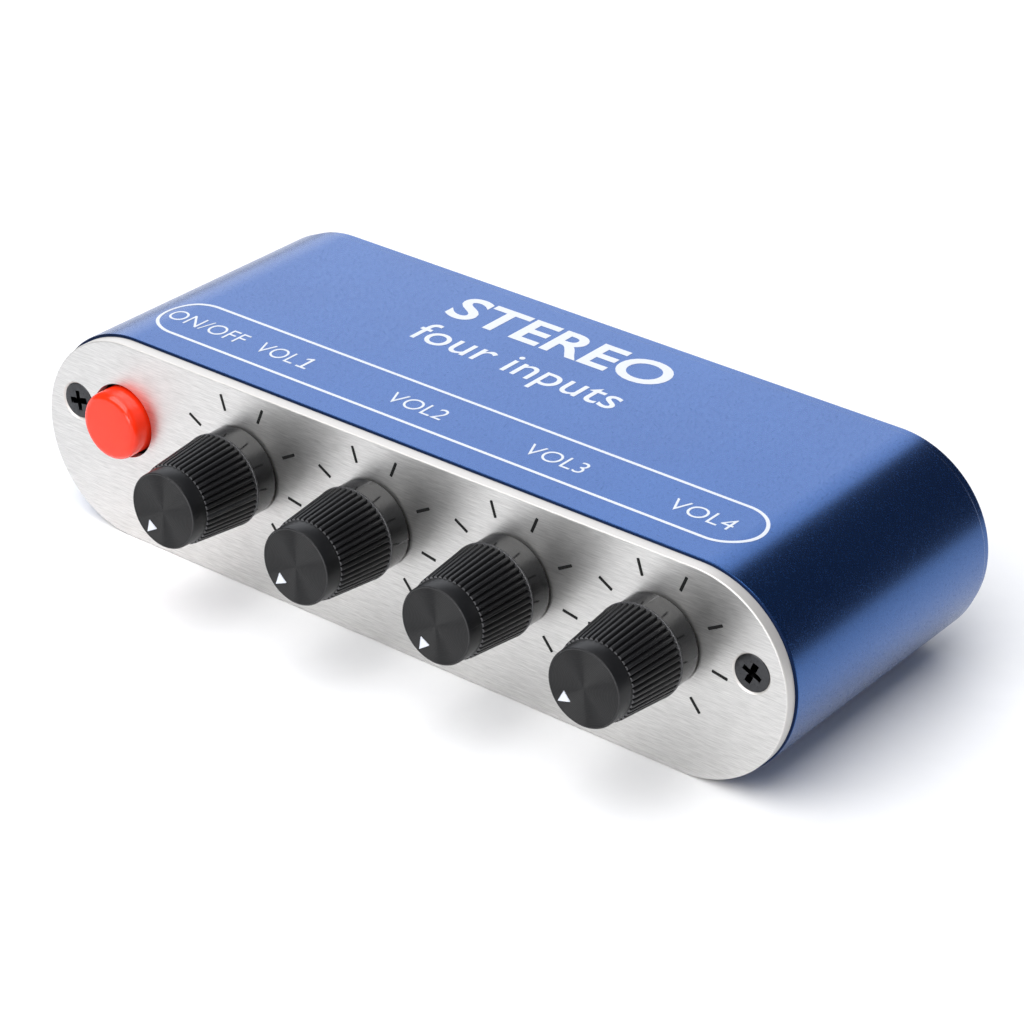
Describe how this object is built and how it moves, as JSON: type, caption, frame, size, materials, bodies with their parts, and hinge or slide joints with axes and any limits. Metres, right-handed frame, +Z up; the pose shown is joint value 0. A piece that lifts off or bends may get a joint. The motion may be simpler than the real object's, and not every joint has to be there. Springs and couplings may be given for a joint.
{
  "type": "stereo mixer",
  "caption": "Small desktop stereo mixer: stadium-section anodised tube, brushed front plate with turning volume knobs and a red push button, rear plate with 3.5 mm sockets and a DC inlet.",
  "frame": {"origin": "on the flat underside, at the middle of the width and of the casing depth between the outer faces of the plates", "axes": "+X to the user's right, -Y towards the user, out of the front plate, +Z up"},
  "size_m": [0.1248, 0.0647, 0.0302],
  "materials": {
    "blue_anodised": "bead-blasted and anodised blue",
    "brushed_aluminium": "brushed along its length",
    "knob_abs": "moulded black ABS",
    "button_abs": "polished red ABS",
    "black_screw": "black oxide",
    "circuit_board": "green solder mask on glass laminate",
    "plated_steel": "tin plated",
    "pot_resin": "moulded phenolic",
    "shaft_aluminium": "turned",
    "contact_brass": "stamped strip",
    "pin_plating": "nickel plated",
    "carbon_track": "printed carbon on laminate",
    "tinned_legs": "tinned",
    "plunger_nylon": "moulded nylon",
    "spring_steel": "drawn wire",
    "black_resin": "moulded nylon",
    "chip_resin": "moulded epoxy",
    "capacitor_sleeve": "heat-shrunk sleeve",
    "film_box": "moulded box",
    "ceramic_chip": "fired ceramic",
    "resistor_chip": "glazed ceramic",
    "ferrite": "sintered ferrite"
  },
  "bodies": {
    "root": {"case_tube": "blue_anodised", "ceramic_capacitors": "ceramic_chip", "chip_legs": "tinned_legs", "circuit_board": "circuit_board", "converter_chip": "chip_resin", "dc_contacts": "contact_brass", "dc_jack": "black_resin", "dc_pin": "pin_plating", "electrolytic_capacitors": "capacitor_sleeve", "film_capacitors": "film_box", "front_plate": "brushed_aluminium", "front_screws": "black_screw", "input_jack_1": "black_resin", "input_jack_2": "black_resin", "input_jack_3": "black_resin", "input_jack_4": "black_resin", "jack_contacts": "contact_brass", "op_amps": "chip_resin", "output_jack": "black_resin", "pot_cover_1": "plated_steel", "pot_cover_2": "plated_steel", "pot_cover_3": "plated_steel", "pot_cover_4": "plated_steel", "pot_housing_1": "pot_resin", "pot_housing_2": "pot_resin", "pot_housing_3": "pot_resin", "pot_housing_4": "pot_resin", "pot_terminals": "tinned_legs", "pot_tracks": "carbon_track", "power_inductor": "ferrite", "protection_diode": "chip_resin", "rear_plate": "blue_anodised", "rear_screws": "black_screw", "resistors": "resistor_chip", "switch_housing": "black_resin", "switch_spring": "spring_steel", "switch_terminals": "tinned_legs"},
    "knob_1_body": {"knob_1": "knob_abs", "pot_shaft_1": "shaft_aluminium", "pot_wiper_1": "contact_brass"},
    "knob_2_body": {"knob_2": "knob_abs", "pot_shaft_2": "shaft_aluminium", "pot_wiper_2": "contact_brass"},
    "knob_3_body": {"knob_3": "knob_abs", "pot_shaft_3": "shaft_aluminium", "pot_wiper_3": "contact_brass"},
    "knob_4_body": {"knob_4": "knob_abs", "pot_shaft_4": "shaft_aluminium", "pot_wiper_4": "contact_brass"},
    "button_body": {"button_cap": "button_abs", "switch_plunger": "plunger_nylon"}
  },
  "joints": [
    {"name": "knob_1_turn", "type": "hinge", "parent": "root", "child": "knob_1_body", "pos_m": [-0.02624, -0.0245, 0.01795], "axis": [0, 1, 0], "range_deg": [-5, 295]},
    {"name": "knob_2_turn", "type": "hinge", "parent": "root", "child": "knob_2_body", "pos_m": [-0.00331, -0.0245, 0.01795], "axis": [0, 1, 0], "range_deg": [-12, 288]},
    {"name": "knob_3_turn", "type": "hinge", "parent": "root", "child": "knob_3_body", "pos_m": [0.01962, -0.0245, 0.01795], "axis": [0, 1, 0], "range_deg": [0, 300]},
    {"name": "knob_4_turn", "type": "hinge", "parent": "root", "child": "knob_4_body", "pos_m": [0.04255, -0.0245, 0.01795], "axis": [0, 1, 0], "range_deg": [-20, 280]},
    {"name": "button_push", "type": "slide", "parent": "root", "child": "button_body", "axis": [0, 1, 0], "range_m": [0, 0.0025], "stiffness_N_per_m": 600, "springref_m": -0.002, "deforming": ["switch_spring"]}
  ]
}
